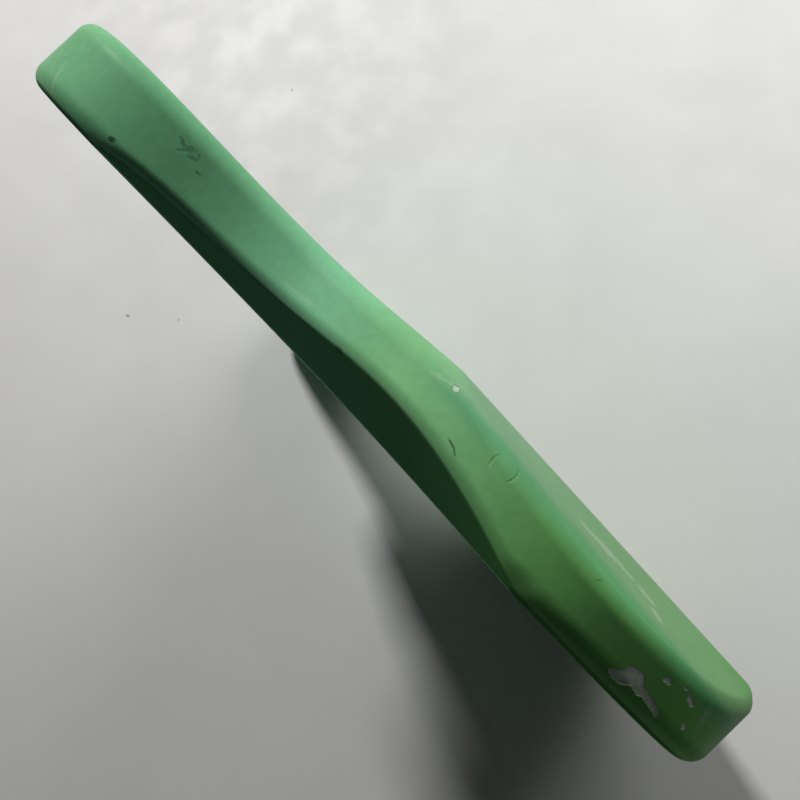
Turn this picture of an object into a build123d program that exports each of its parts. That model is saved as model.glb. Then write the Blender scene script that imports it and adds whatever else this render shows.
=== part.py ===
from build123d import *
import os
from math import atan2, cos, degrees, hypot, radians, sin

# Bare body of a contoured, double-cutaway solid electric guitar, right-handed,
# with every hardware part and the neck taken off.
#
# It is drawn lying on its back: X runs from the butt end towards the neck, Y from the
# centreline to the bass side, and Z from mid-thickness to the front face.
# place() then stands each piece on the body's treble edge: bass side up, front to -Y.

# ---- Slab ----
body_thickness = 44.5
body_length = 460.0            # butt end to the tip of the bass horn
body_half_width = 162.0        # treble side stands on its lower bout and its horn
edge_radius = 10.0             # roundover of the front and back edges

bass_bout_x = 125.0
bass_waist_x = 268.0
bass_waist = 121.5             # centreline to edge
bass_horn_x = 396.0
bass_horn = 157.0
bass_horn_tip = 115.0

treble_bout_x = 115.0
treble_waist_x = 250.0
treble_waist = 115.0
treble_horn_x = 372.0
treble_horn_reach = 421.0
treble_horn_tip = 132.0

# Shape of each stretch of edge, as shares of its own span along and across the body.
butt_curve = [(0.03, 0.33), (0.15, 0.61), (0.39, 0.825), (0.70, 0.963)]
bout_to_waist = [(0.29, 0.14), (0.54, 0.49), (0.79, 0.86)]
waist_to_horn = [(0.255, 0.128), (0.51, 0.487), (0.766, 0.872)]
horn_end = [(0.517, 0.167), (0.879, 0.556)]
cutaway = [(0.09, 0.155), (0.30, 0.30), (0.55, 0.44), (0.745, 0.62), (0.88, 0.81)]

# ---- Glued staves ----
stave_joint = 58.0             # centreline to each glue line

# ---- Neck joint ----
heel_x = 393.0                 # butt end to the open end of the neck pocket
pocket_length = 76.2
pocket_width = 56.2
pocket_depth = 15.9
pocket_corner = 6.0
pocket_wall = 5.0              # wood beside the pocket
heel_corner = 6.0
heel_edge = 3.0
neck_screw_along = 50.8
neck_screw_across = 38.1
neck_screw_diameter = 4.8
bass_cutaway_bottom = 27.0     # heel end back to the hidden end of each cutaway curve
treble_cutaway_bottom = 58.0
cutaway_bottom_height = 17.0
cutaway_bottom_corner = 12.0

# ---- Contours ----
belly_x = 237.0
belly_depth = 14.2             # at the bass edge of the waist
belly_tilt = 14.6              # degrees, towards the bass edge
belly_radius = 454.0
forearm_start = 37.5           # where the bevel's edge leaves the butt end
forearm_angle = 33.5           # degrees, that edge to the centreline
forearm_tilt = 19.7            # degrees, bevel to front face

# ---- Bridge and tremolo ----
pocket_to_bridge = 182.8
post_spacing = 56.0
bushing_diameter = 11.1
bushing_bore = 7.94
bushing_length = 19.0
slot_behind_posts = 10.0
slot_length = 27.0
slot_width = 76.0
block_rout_length = 22.0       # swing room behind the slot, cut from the back
block_rout_depth = 30.0
spring_length = 103.0
spring_width = 57.0
spring_depth = 16.0
rout_corner = 5.0
claw_screw_spacing = 25.0
claw_screw_height = 8.0        # above the back face
claw_screw_diameter = 3.2
claw_screw_depth = 30.0

# ---- Pickup routs ----
pickup_to_bridge = [162.0, 98.4, 46.0]
pickup_turn = [0.0, 0.0, -10.0]
pickup_rout_length = 92.0
pickup_rout_width = 23.0
pickup_rout_depth = 19.0
channel_width = 13.0
channel_side = -33.0
channel_depth = 16.0

# ---- Controls and jack ----
control_corners = [(198.0, -84.0), (165.0, -79.0), (100.0, -108.0), (126.0, -122.0)]
control_corner_radius = 19.0
control_floor = 8.5            # wood left under the cavity
control_channel_end = (168.0, -74.0)
jack_place = (60.0, -96.0)
jack_turn = 45.0
jack_length = 50.0
jack_width = 24.0
jack_depth = 30.0
jack_wire_diameter = 9.5
jack_wire_depth = 20.0
ground_wire_diameter = 4.0
ground_wire_height = 11.0      # above the back face

# ---- Ground lug and its screw ----
lug_place = (140.0, -98.0)
lug_thickness = 0.8
lug_ring_radius = 4.0
lug_tail_length = 14.0
lug_tail_width = 4.0
lug_eye_radius = 1.0
screw_radius = 1.5
screw_tip_cover = 2.5          # wood between the screw's tip and the back face
screw_head_radius = 3.0
screw_head_height = 1.9

# ---- Locator dowels ----
dowel_diameter = 9.5
dowel_length = 12.4
dowel_sink = 0.3               # top of the dowel below the face
dowel_places = {"tail": (48.0, 0.0), "waist": (266.0, 24.0)}

# ---- Pilot holes for the parts that screw on ----
pilot_diameter = 2.4
pilot_depth = 12.0
guard_pilots = [
    (352.0, 42.0), (318.0, 78.0), (262.0, 84.0), (206.0, 66.0), (146.0, 54.0),
    (330.0, -60.0), (316.0, -104.0), (256.0, -92.0), (214.0, -114.0), (152.0, -144.0),
    (84.0, -132.0),
]
cover_pilot_across = 88.0
cover_pilot_along = 60.0
jack_pilot_spacing = 58.0
strap_pilot_diameter = 3.2
strap_pilot_depth = 25.0

overcut = 1.0                  # cutters pass open faces by this much

# Worked out from the sizes above
front = body_thickness / 2
back = -front
control_depth = body_thickness - control_floor
screw_grip = control_floor - screw_tip_cover
pocket_x = heel_x - pocket_length
bridge_x = pocket_x - pocket_to_bridge
slot_front_x = bridge_x - slot_behind_posts
spring_end_x = slot_front_x + spring_length
heel_half_width = pocket_width / 2 + pocket_wall


def between(start, end, shares):
    """Points from start to end, with the ones between given as shares of the span."""
    span_x = end[0] - start[0]
    span_y = end[1] - start[1]
    middle = [(start[0] + u * span_x, start[1] + v * span_y) for u, v in shares]
    return [start] + middle + [end]


def side_edge(side, bout, waist, horn, tip, root):
    """One side of the outline, from the butt end to the neck heel. side is 1 or -1."""
    out = (0, side)
    onward = (1, 0)
    tip_in = (0, -side)
    inward = (-0.6, -side * 0.8)
    return [
        Spline(*between((0, 0), bout, butt_curve), tangents=[out, onward]),
        Spline(*between(bout, waist, bout_to_waist), tangents=[onward, onward]),
        Spline(*between(waist, horn, waist_to_horn), tangents=[onward, onward]),
        Spline(*between(horn, tip, horn_end), tangents=[onward, tip_in]),
        Spline(*between(tip, root, cutaway), tangents=[tip_in, inward]),
    ]


def slab():
    """The blank, sawn to the outline and rounded over, with the square heel under the neck."""
    bass_root = (heel_x - bass_cutaway_bottom, cutaway_bottom_height)
    treble_root = (heel_x - treble_cutaway_bottom, -cutaway_bottom_height)
    bass_edge = side_edge(
        1,
        (bass_bout_x, body_half_width),
        (bass_waist_x, bass_waist),
        (bass_horn_x, bass_horn),
        (body_length, bass_horn_tip),
        bass_root,
    )
    treble_edge = side_edge(
        -1,
        (treble_bout_x, -body_half_width),
        (treble_waist_x, -treble_waist),
        (treble_horn_x, -body_half_width),
        (treble_horn_reach, -treble_horn_tip),
        treble_root,
    )
    outline = make_face(bass_edge + treble_edge + [Line(bass_root, treble_root)])
    root_points = outline.vertices().filter_by(lambda v: v.X > pocket_x and abs(v.Y) < pocket_width / 2)
    outline = fillet(root_points, cutaway_bottom_corner)
    blank = extrude(outline, front, both=True)
    rims = blank.edges().filter_by(lambda e: abs(abs(e.center().Z) - front) < 0.01)
    blank = fillet(rims, edge_radius)

    heel_length = pocket_length + heel_corner
    heel_box = Box(heel_length, 2 * heel_half_width, body_thickness, align=(Align.MAX, Align.CENTER, Align.CENTER))
    heel = Pos(heel_x, 0, 0) * heel_box
    posts = heel.edges().filter_by(Axis.Z).group_by(Axis.X)[-1]
    heel = fillet(posts, heel_corner)
    heel = fillet(heel.faces().sort_by(Axis.Z)[0].edges(), heel_edge)
    return blank + heel


def belly_cut():
    """Round cutter that hollows the back at the bass side, deeper towards the edge."""
    tilt = radians(belly_tilt)
    along = Vector(0, cos(tilt), sin(tilt))
    down = Vector(0, sin(tilt), -cos(tilt))
    touch = Vector(belly_x, bass_waist, back + belly_depth)
    reach = 3 * body_half_width
    return Plane(origin=touch + down * belly_radius, z_dir=along) * Cylinder(belly_radius, reach)


def forearm_cut():
    """Flat bevel of the front at the bass side of the butt end."""
    turn = radians(forearm_angle)
    tilt = radians(forearm_tilt)
    edge_way = Vector(cos(turn), sin(turn), 0)
    square_on = Vector(-sin(turn), cos(turn), 0)
    normal = square_on * sin(tilt) + Vector(0, 0, 1) * cos(tilt)
    bevel = Plane(origin=(0, forearm_start, front), x_dir=edge_way, z_dir=normal)
    reach = 2 * body_length
    return bevel * Box(reach, reach, body_thickness, align=(Align.CENTER, Align.MIN, Align.MIN))


def from_front(shape, depth):
    """Cut of the given depth into the front face."""
    return Pos(0, 0, front - depth) * extrude(shape, depth + overcut)


def from_back(shape, depth):
    """Cut of the given depth into the back face."""
    return Pos(0, 0, back - overcut) * extrude(shape, depth + overcut)


def drilled(start, end, diameter):
    """Round hole between two points."""
    way = Vector(*end) - Vector(*start)
    hole = Cylinder(diameter / 2, way.length, align=(Align.CENTER, Align.CENTER, Align.MIN))
    return Plane(origin=start, z_dir=way) * hole


def strip(start_x, end_x, width, corner):
    """Rectangle across the centreline, with rounded corners, between two distances from the butt end."""
    return Pos((start_x + end_x) / 2, 0) * RectangleRounded(end_x - start_x, width, corner)


def neck_joint_cuts():
    """Pocket that the neck heel drops into, and its four screw holes."""
    open_end = heel_x + 2 * pocket_corner
    cuts = [from_front(strip(pocket_x, open_end, pocket_width, pocket_corner), pocket_depth)]
    middle_x = (pocket_x + heel_x) / 2
    for screw in GridLocations(neck_screw_along, neck_screw_across, 2, 2):
        hole = screw * Cylinder(neck_screw_diameter / 2, body_thickness + 2 * overcut)
        cuts.append(Pos(middle_x, 0, 0) * hole)
    return cuts


def tremolo_cuts():
    """Slot for the tremolo block, its swing room, the spring cavity and the claw screw holes."""
    slot = strip(slot_front_x - slot_length, slot_front_x, slot_width, rout_corner)
    block_room = strip(
        slot_front_x - slot_length - block_rout_length, slot_front_x, slot_width, rout_corner
    )
    springs = strip(slot_front_x - 2 * rout_corner, spring_end_x, spring_width, rout_corner)
    cuts = [
        from_front(slot, body_thickness + overcut),
        from_back(block_room, block_rout_depth),
        from_back(springs, spring_depth),
    ]
    for side in (-1, 1):
        start = (spring_end_x - overcut, side * claw_screw_spacing / 2, back + claw_screw_height)
        end = (spring_end_x + claw_screw_depth, start[1], start[2])
        cuts.append(drilled(start, end, claw_screw_diameter))
        hole = Cylinder(bushing_diameter / 2, bushing_length + overcut, align=(Align.CENTER, Align.CENTER, Align.MIN))
        cuts.append(Pos(bridge_x, side * post_spacing / 2, front - bushing_length) * hole)
    return cuts


def pickup_cuts():
    """Three pickup routs and the wiring channel that joins them."""
    cuts = []
    for distance, turn in zip(pickup_to_bridge, pickup_turn):
        shape = RectangleRounded(pickup_rout_width, pickup_rout_length, rout_corner)
        placed = Pos(bridge_x + distance, 0) * Rot(0, 0, turn) * shape
        cuts.append(from_front(placed, pickup_rout_depth))
    first = (bridge_x + pickup_to_bridge[0], channel_side)
    last = (bridge_x + pickup_to_bridge[-1], channel_side)
    cuts.append(from_front(channel(first, last), channel_depth))
    cuts.append(from_front(channel(last, control_channel_end), channel_depth))
    return cuts


def channel(start, end):
    """Wiring channel with round ends between two places."""
    length = hypot(end[0] - start[0], end[1] - start[1])
    turn = degrees(atan2(end[1] - start[1], end[0] - start[0]))
    middle = Pos((start[0] + end[0]) / 2, (start[1] + end[1]) / 2)
    return middle * Rot(0, 0, turn) * SlotCenterToCenter(length, channel_width)


def control_cuts():
    """Control cavity, jack rout, and the two drilled wire ways."""
    corners = [Pos(*corner) * Circle(control_corner_radius) for corner in control_corners]
    cavity = make_hull(Sketch(children=corners).edges())
    jack = Pos(*jack_place) * Rot(0, 0, jack_turn) * SlotOverall(jack_length, jack_width)
    wire_z = front - jack_wire_depth
    ground_z = back + ground_wire_height
    ground_from = (*control_corners[1], ground_z)
    ground_to = (control_corners[1][0], 0, ground_z)
    return [
        from_front(cavity, control_depth),
        from_front(jack, jack_depth),
        drilled((*jack_place, wire_z), (*control_corners[2], wire_z), jack_wire_diameter),
        drilled(ground_from, ground_to, ground_wire_diameter),
        Pos(*lug_place, front - control_depth - screw_grip) * shank(screw_grip + overcut),
    ]


def pilot_cuts():
    """Pilot holes for the pickguard, back cover, jack plate and strap buttons."""
    round_hole = Circle(pilot_diameter / 2)
    cuts = [from_front(Pos(*place) * round_hole, pilot_depth) for place in guard_pilots]
    cover_x = (slot_front_x - slot_length - block_rout_length + spring_end_x) / 2
    for place in GridLocations(cover_pilot_along, cover_pilot_across, 3, 2):
        cuts.append(from_back(Pos(cover_x, 0) * place * round_hole, pilot_depth))
    turn = radians(jack_turn)
    for side in (-1, 1):
        reach = side * jack_pilot_spacing / 2
        x = jack_place[0] + reach * cos(turn)
        y = jack_place[1] + reach * sin(turn)
        cuts.append(from_front(Pos(x, y) * round_hole, pilot_depth))
    cuts.append(drilled((-overcut, 0, 0), (strap_pilot_depth, 0, 0), strap_pilot_diameter))
    horn_mouth = (body_length + overcut, bass_horn_tip, 0)
    horn_floor = (body_length - strap_pilot_depth, bass_horn_tip, 0)
    cuts.append(drilled(horn_mouth, horn_floor, strap_pilot_diameter))
    return cuts


def dowel_cuts():
    """Blind holes for the two locator dowels."""
    depth = dowel_sink + dowel_length
    hole = Circle(dowel_diameter / 2)
    return [from_front(Pos(*place) * hole, depth) for place in dowel_places.values()]


def shank(length):
    """Screw shank standing on the XY plane."""
    return Cylinder(screw_radius, length, align=(Align.CENTER, Align.CENTER, Align.MIN))


def dowel(place):
    """Maple dowel, its top just below the front face."""
    pin = Cylinder(dowel_diameter / 2, dowel_length, align=(Align.CENTER, Align.CENTER, Align.MAX))
    return Pos(*place, front - dowel_sink) * pin


def bushing(side):
    """Steel bushing pressed in flush with the front face, bored for a bridge post."""
    high = (Align.CENTER, Align.CENTER, Align.MAX)
    sleeve = Cylinder(bushing_diameter / 2, bushing_length, align=high)
    sleeve -= Cylinder(bushing_bore / 2, bushing_length, align=high)
    return Pos(bridge_x, side * post_spacing / 2, front) * sleeve


def ground_lug():
    """Tinned solder lug that lies on the floor of the control cavity."""
    ring = Circle(lug_ring_radius)
    tail = Pos(lug_tail_length / 2, 0) * SlotOverall(lug_tail_length + lug_tail_width, lug_tail_width)
    eye = Pos(lug_tail_length, 0) * Circle(lug_eye_radius)
    flat = ring + tail - eye - Circle(screw_radius)
    return Pos(*lug_place, front - control_depth) * extrude(flat, lug_thickness)


def ground_screw():
    """Pan-head screw through the lug into the cavity floor."""
    body = shank(screw_grip + lug_thickness)
    head = Cylinder(screw_head_radius, screw_head_height, align=(Align.CENTER, Align.CENTER, Align.MIN))
    head = fillet(head.edges().sort_by(Axis.Z)[-1], screw_head_height * 0.6)
    slot = Pos(0, 0, screw_head_height) * Box(2 * screw_head_radius, 0.8, 1.2)
    screw = body + Pos(0, 0, screw_grip + lug_thickness) * (head - slot)
    return Pos(*lug_place, front - control_depth - screw_grip) * screw


def wood():
    """The whole body in one, before it is parted at the glue lines."""
    shaped = slab() - belly_cut() - forearm_cut()
    cuts = neck_joint_cuts() + tremolo_cuts() + pickup_cuts()
    cuts += control_cuts() + pilot_cuts() + dowel_cuts()
    for cut in cuts:
        shaped = shaped - cut
    return shaped


def staves():
    """The three staves, parted at the two glue lines."""
    body = wood()
    bands = {
        "bass_stave": (stave_joint, body_half_width + overcut),
        "centre_stave": (-stave_joint, stave_joint),
        "treble_stave": (-body_half_width - overcut, -stave_joint),
    }
    pieces = {}
    for name, (low, high) in bands.items():
        band = Pos(body_length / 2, (low + high) / 2, 0)
        band = band * Box(body_length + 2 * overcut, high - low, body_thickness + 2 * overcut)
        pieces[name] = body & band
    return pieces


def place(piece):
    """From the drawing, on its back, to standing on the treble edge."""
    upright = Plane(origin=(-body_length / 2, 0, body_half_width), x_dir=(1, 0, 0), z_dir=(0, -1, 0))
    return upright * piece


pieces = staves()
for name, spot in dowel_places.items():
    pieces[name + "_locator_dowel"] = dowel(spot)
pieces["bass_bridge_bushing"] = bushing(1)
pieces["treble_bridge_bushing"] = bushing(-1)
pieces["ground_lug"] = ground_lug()
pieces["ground_lug_screw"] = ground_screw()

os.makedirs("parts", exist_ok=True)
for name, piece in pieces.items():
    export_step(place(piece), f"parts/{name}.step")
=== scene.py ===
import math

import bmesh
import bpy
import numpy as np
from mathutils import Euler, Matrix, Vector
from mathutils.bvhtree import BVHTree
from mathutils.geometry import barycentric_transform, convex_hull_2d, delaunay_2d_cdt


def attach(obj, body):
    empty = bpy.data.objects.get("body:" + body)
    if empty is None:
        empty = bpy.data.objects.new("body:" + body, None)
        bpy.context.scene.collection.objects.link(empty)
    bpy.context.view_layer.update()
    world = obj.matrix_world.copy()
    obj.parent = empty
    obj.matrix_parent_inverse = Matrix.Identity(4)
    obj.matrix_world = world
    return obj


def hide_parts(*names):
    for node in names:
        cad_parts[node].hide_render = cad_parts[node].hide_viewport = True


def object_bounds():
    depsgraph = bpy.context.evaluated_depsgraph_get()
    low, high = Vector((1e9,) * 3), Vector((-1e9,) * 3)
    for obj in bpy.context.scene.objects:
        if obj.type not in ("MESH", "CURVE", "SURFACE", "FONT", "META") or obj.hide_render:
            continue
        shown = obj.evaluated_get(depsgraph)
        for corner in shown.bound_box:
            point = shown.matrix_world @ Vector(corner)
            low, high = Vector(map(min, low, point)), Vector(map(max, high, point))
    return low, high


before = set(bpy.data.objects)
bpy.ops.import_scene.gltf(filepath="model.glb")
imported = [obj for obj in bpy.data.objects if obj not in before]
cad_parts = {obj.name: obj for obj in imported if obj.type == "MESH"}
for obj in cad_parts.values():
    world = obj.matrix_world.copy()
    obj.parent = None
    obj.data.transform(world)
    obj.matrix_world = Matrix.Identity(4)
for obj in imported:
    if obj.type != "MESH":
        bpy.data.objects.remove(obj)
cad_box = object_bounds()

# ---------------------------------------------------------------------------------------
# Camera: looks down on the body's bass edge, a little from the front and past the butt
# end, with the neck end towards the upper left.
# ---------------------------------------------------------------------------------------
def new_object(name, data):
    """An object in the scene that holds the data."""
    made = bpy.data.objects.new(name, data)
    bpy.context.scene.collection.objects.link(made)
    return made


camera_data = bpy.data.cameras.new("camera")
camera_data.sensor_width = 36.0
camera_data.lens = 36.286
camera_data.clip_start = 0.02
camera = new_object("camera", camera_data)
camera.location = (-0.1608, 0.0113, 0.5983)
camera.rotation_euler = Euler([math.radians(a) for a in (16.11, 12.89, -132.26)])
bpy.context.scene.camera = camera

# ---------------------------------------------------------------------------------------
# Outline of the alder body, sawn and sanded to a template. Distances are in metres from
# the butt end along the body, and from the centreline, positive to the bass side.
# ---------------------------------------------------------------------------------------
MM = 0.001
low_corner, high_corner = (np.array(corner) for corner in cad_box)
body_length = high_corner[0] - low_corner[0]
body_half_width = (high_corner[2] - low_corner[2]) / 2
half_thickness = (high_corner[1] - low_corner[1]) / 2
butt_x = low_corner[0]

butt_curve = [(0.03, 0.33), (0.15, 0.61), (0.39, 0.825), (0.70, 0.963)]
bout_to_waist = [(0.29, 0.14), (0.54, 0.49), (0.79, 0.86)]
waist_to_horn = [(0.255, 0.128), (0.51, 0.487), (0.766, 0.872)]
horn_end = [(0.517, 0.167), (0.879, 0.556)]
cutaway = [(0.09, 0.155), (0.30, 0.30), (0.55, 0.44), (0.745, 0.62), (0.88, 0.81)]

bass_bout = (125 * MM, body_half_width)
bass_waist = (268 * MM, 121.5 * MM)
bass_horn = (396 * MM, 157 * MM)
bass_horn_tip = (body_length, 115 * MM)
treble_bout = (115 * MM, -body_half_width)
treble_waist = (250 * MM, -115 * MM)
treble_horn = (372 * MM, -body_half_width)
treble_horn_tip = (421 * MM, -132 * MM)
heel_x = 393 * MM
bass_cutaway_root = (heel_x - 27 * MM, 17 * MM)
treble_cutaway_root = (heel_x - 58 * MM, -17 * MM)
heel_half_width = 33.1 * MM
heel_corner = 6 * MM
cutaway_fillet = 5.5 * MM
outline_step = 0.3 * MM


def smooth_curve(points, start_way, end_way, steps):
    """Smooth curve through the points, leaving and arriving along the given ways."""
    points = np.array(points)
    gaps = np.linalg.norm(np.diff(points, axis=0), axis=1)
    count = len(points)
    system = np.zeros((count, count))
    wanted = np.zeros((count, 2))
    system[0, 0] = system[-1, -1] = 1
    wanted[0] = np.array(start_way) / np.linalg.norm(start_way)
    wanted[-1] = np.array(end_way) / np.linalg.norm(end_way)
    for i in range(1, count - 1):
        before, after = gaps[i - 1], gaps[i]
        system[i, i - 1] = after
        system[i, i] = 2 * (before + after)
        system[i, i + 1] = before
        climb = (points[i + 1] - points[i]) / after
        rise = (points[i] - points[i - 1]) / before
        wanted[i] = 3 * (before * climb + after * rise)
    speeds = np.linalg.solve(system, wanted)
    curve = []
    for i, gap in enumerate(gaps):
        t = np.linspace(0, 1, steps, endpoint=False)[:, None]
        curve.append(
            (2 * t**3 - 3 * t**2 + 1) * points[i]
            + (t**3 - 2 * t**2 + t) * gap * speeds[i]
            + (3 * t**2 - 2 * t**3) * points[i + 1]
            + (t**3 - t**2) * gap * speeds[i + 1]
        )
    return np.concatenate(curve + [points[-1:]])


def between(start, end, shares):
    """Points from start to end, the ones between given as shares of the span."""
    start, end = np.array(start), np.array(end)
    return [start] + [start + np.array(share) * (end - start) for share in shares] + [end]


def side_edge(side, bout, waist, horn, tip, root):
    """One side of the outline, from the butt end to the heel."""
    onward, inward = (1, 0), (0, -side)
    stretches = [
        ((0, 0), bout, butt_curve, (0, side), onward),
        (bout, waist, bout_to_waist, onward, onward),
        (waist, horn, waist_to_horn, onward, onward),
        (horn, tip, horn_end, onward, inward),
        (tip, root, cutaway, inward, (-0.6, -side * 0.8)),
    ]
    curves = [
        smooth_curve(np.array(between(a, b, shares)), leave, arrive, 80)[:-1]
        for a, b, shares, leave, arrive in stretches
    ]
    return np.concatenate(curves)


def join_heel(edge, side):
    """Cuts a side's edge where it meets the heel, and rounds the inner corner."""
    across = edge[:, 1] * side
    far = np.linspace(heel_x - 0.06, heel_x, 1200)
    centre_y = heel_half_width + cutaway_fillet
    near = edge[(edge[:, 0] > heel_x - 0.1) & (across < centre_y + 0.03)]
    gap = [
        np.min(np.hypot(near[:, 0] - x, near[:, 1] * side - centre_y)) for x in far
    ]
    centre_x = far[np.nonzero(np.array(gap) < cutaway_fillet)[0][-1] + 1]
    touch = near[np.argmin(np.hypot(near[:, 0] - centre_x, near[:, 1] * side - centre_y))]
    start = math.atan2(touch[1] * side - centre_y, touch[0] - centre_x) % (2 * math.pi)
    angles = np.linspace(start, 1.5 * math.pi, 40)
    arc = np.column_stack([
        centre_x + cutaway_fillet * np.cos(angles),
        centre_y + cutaway_fillet * np.sin(angles),
    ])
    corner = np.linspace(math.pi / 2, 0, 30)
    round_corner = np.column_stack([
        heel_x - heel_corner + heel_corner * np.cos(corner),
        heel_half_width - heel_corner + heel_corner * np.sin(corner),
    ])
    last = np.nonzero(np.all(edge == touch, axis=1))[0][0]
    kept = edge[:last].copy()
    kept[:, 1] *= side
    joined = np.concatenate([kept, arc, round_corner])
    joined[:, 1] *= side
    return joined


bass_edge = join_heel(side_edge(
    1, bass_bout, bass_waist, bass_horn, bass_horn_tip, bass_cutaway_root), 1)
treble_edge = join_heel(side_edge(
    -1, treble_bout, treble_waist, treble_horn, treble_horn_tip, treble_cutaway_root), -1)


def even_steps(loop, step):
    """The closed loop again, with its points evenly spaced."""
    closed = np.concatenate([loop, loop[:1]])
    gaps = np.linalg.norm(np.diff(closed, axis=0), axis=1)
    run = np.concatenate([[0], np.cumsum(gaps)])
    count = int(run[-1] / step)
    places = np.linspace(0, run[-1], count, endpoint=False)
    return np.column_stack([np.interp(places, run, closed[:, k]) for k in (0, 1)])


# From the butt end along the treble side, round the heel and back along the bass side. The
# shell takes every fourth of these points.
fine_outline = even_steps(np.concatenate([treble_edge, bass_edge[::-1][:-1]]), outline_step)
outline = fine_outline[::4]


def loop_normals(loop):
    """Outward normals of a closed loop that runs counterclockwise."""
    way = np.roll(loop, -1, axis=0) - np.roll(loop, 1, axis=0)
    way /= np.linalg.norm(way, axis=1)[:, None]
    return np.column_stack([way[:, 1], -way[:, 0]])


outward = loop_normals(outline)

# ---------------------------------------------------------------------------------------
# The faces: flat front and back, with the belly hollow sanded into the back and the
# forearm bevel into the front. Both are on the bass side and fade in over a soft crest.
# ---------------------------------------------------------------------------------------
belly_x = 237 * MM
belly_depth = 14.2 * MM
belly_slope = math.tan(math.radians(14.6))
belly_radius = 454 * MM
forearm_start = 37.5 * MM
forearm_angle = math.radians(33.5)
forearm_slope = math.tan(math.radians(19.7))
crest_softness = 1.2 * MM


def soft_positive(depth, softness):
    """Depth where it is above zero, easing in round zero."""
    eased = (depth + softness) ** 2 / (4 * softness)
    return np.where(depth > softness, depth, np.where(depth < -softness, 0, eased))


def belly(points):
    """How far the back is hollowed at each point."""
    x, y = points[:, 0], points[:, 1]
    depth = belly_depth + belly_slope * (y - bass_waist[1])
    depth = depth - (x - belly_x) ** 2 / (2 * belly_radius)
    return soft_positive(depth, crest_softness)


def forearm(points):
    """How far the front is bevelled at each point."""
    x, y = points[:, 0], points[:, 1]
    reach = (y - forearm_start) * math.cos(forearm_angle) - x * math.sin(forearm_angle)
    return soft_positive(reach * forearm_slope, crest_softness)


# ---------------------------------------------------------------------------------------
# The shell of the body: side walls, rounded edges, and the two faces.
# ---------------------------------------------------------------------------------------
edge_radius = 10 * MM
contour_radius = 5 * MM
horn_radius = 7 * MM
heel_front_radius = 1.2 * MM
heel_back_radius = 3 * MM
round_steps = 10
side_rows = 14
face_step = 3 * MM


def share(low, high, value):
    """Smooth step from 0 at low to 1 at high."""
    t = np.clip((value - low) / (high - low), 0, 1)
    return t * t * (3 - 2 * t)


def edge_radii(hollow, heel_radius):
    """Roundover at each outline point: tighter along a contour, and small on the heel."""
    near_tip = share(-25 * MM, 0, outline[:, 0] - body_length)
    radius = edge_radius - (edge_radius - horn_radius) * near_tip
    radius = radius - (radius - contour_radius) * share(0, 6 * MM, hollow)
    on_heel = share(-6 * MM, 6 * MM, outline[:, 0] - (heel_x - 16 * MM))
    on_heel *= np.abs(outline[:, 1]) < heel_half_width + 12 * MM
    beside = share(12 * MM, 0, np.abs(outline[:, 1]) - heel_half_width)
    return radius + (heel_radius - radius) * on_heel * beside


def shell_rows():
    """Rings of points from the inner rim of the back, round the edge, to that of the front."""
    rings = []
    back_radius = edge_radii(belly(outline), heel_back_radius)
    front_radius = edge_radii(forearm(outline), heel_front_radius)
    for turn in np.linspace(0, math.pi / 2, round_steps, endpoint=False):
        inset = outline - outward * (back_radius * (1 - math.sin(turn)))[:, None]
        height = half_thickness - belly(inset) - back_radius * (1 - math.cos(turn))
        rings.append(np.column_stack([inset, height]))
    low = half_thickness - belly(outline) - back_radius
    high = -half_thickness + forearm(outline) + front_radius
    for rise in np.linspace(0, 1, side_rows):
        rings.append(np.column_stack([outline, low + (high - low) * rise]))
    for turn in np.linspace(math.pi / 2, 0, round_steps + 1)[1:]:
        inset = outline - outward * (front_radius * (1 - math.sin(turn)))[:, None]
        height = -half_thickness + forearm(inset) + front_radius * (1 - math.cos(turn))
        rings.append(np.column_stack([inset, height]))
    return rings


def inside(points, loop):
    """Which points lie inside the closed loop."""
    result = np.zeros(len(points), bool)
    ends = np.roll(loop, -1, axis=0)
    for (ax, ay), (bx, by) in zip(loop, ends):
        if ay == by:
            continue
        span = (points[:, 1] >= min(ay, by)) & (points[:, 1] < max(ay, by))
        cross = ax + (points[:, 1] - ay) * (bx - ax) / (by - ay)
        result ^= span & (points[:, 0] < cross)
    return result


def face_fill(rim):
    """Points inside a face's rim, and triangles that join them to it."""
    low, high = rim.min(0), rim.max(0)
    xs = np.arange(low[0], high[0], face_step)
    ys = np.arange(low[1], high[1], face_step * math.sqrt(3) / 2)
    grid = np.array([(x + (j % 2) * face_step / 2, y) for j, y in enumerate(ys) for x in xs])
    grid = grid[inside(grid, rim)]
    gap = np.array([np.min(np.hypot(*(rim - p).T)) for p in grid])
    grid = grid[gap > face_step * 0.6]
    count = len(rim)
    edges = [(i, (i + 1) % count) for i in range(count)]
    points = [Vector(p) for p in np.concatenate([rim, grid])]
    faces, origin = delaunay_2d_cdt(points, edges, [], 1, 1e-7)[2:4]
    return grid, [[origin[v][0] for v in face] for face in faces]


def standing(points):
    """From distances along, across and through the body to where it stands."""
    return np.column_stack([
        points[:, 0] + butt_x, points[:, 2], points[:, 1] + body_half_width
    ])


def closed_mesh(name, points, faces, merge=0.0, in_triangles=False):
    """A mesh whose faces all look outwards."""
    mesh = bpy.data.meshes.new(name)
    mesh.from_pydata(np.asarray(points).tolist(), [], faces)
    solid = bmesh.new()
    solid.from_mesh(mesh)
    if merge:
        bmesh.ops.remove_doubles(solid, verts=solid.verts, dist=merge)
    if in_triangles:
        bmesh.ops.triangulate(solid, faces=solid.faces)
    bmesh.ops.recalc_face_normals(solid, faces=solid.faces)
    solid.to_mesh(mesh)
    solid.free()
    return mesh


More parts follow.
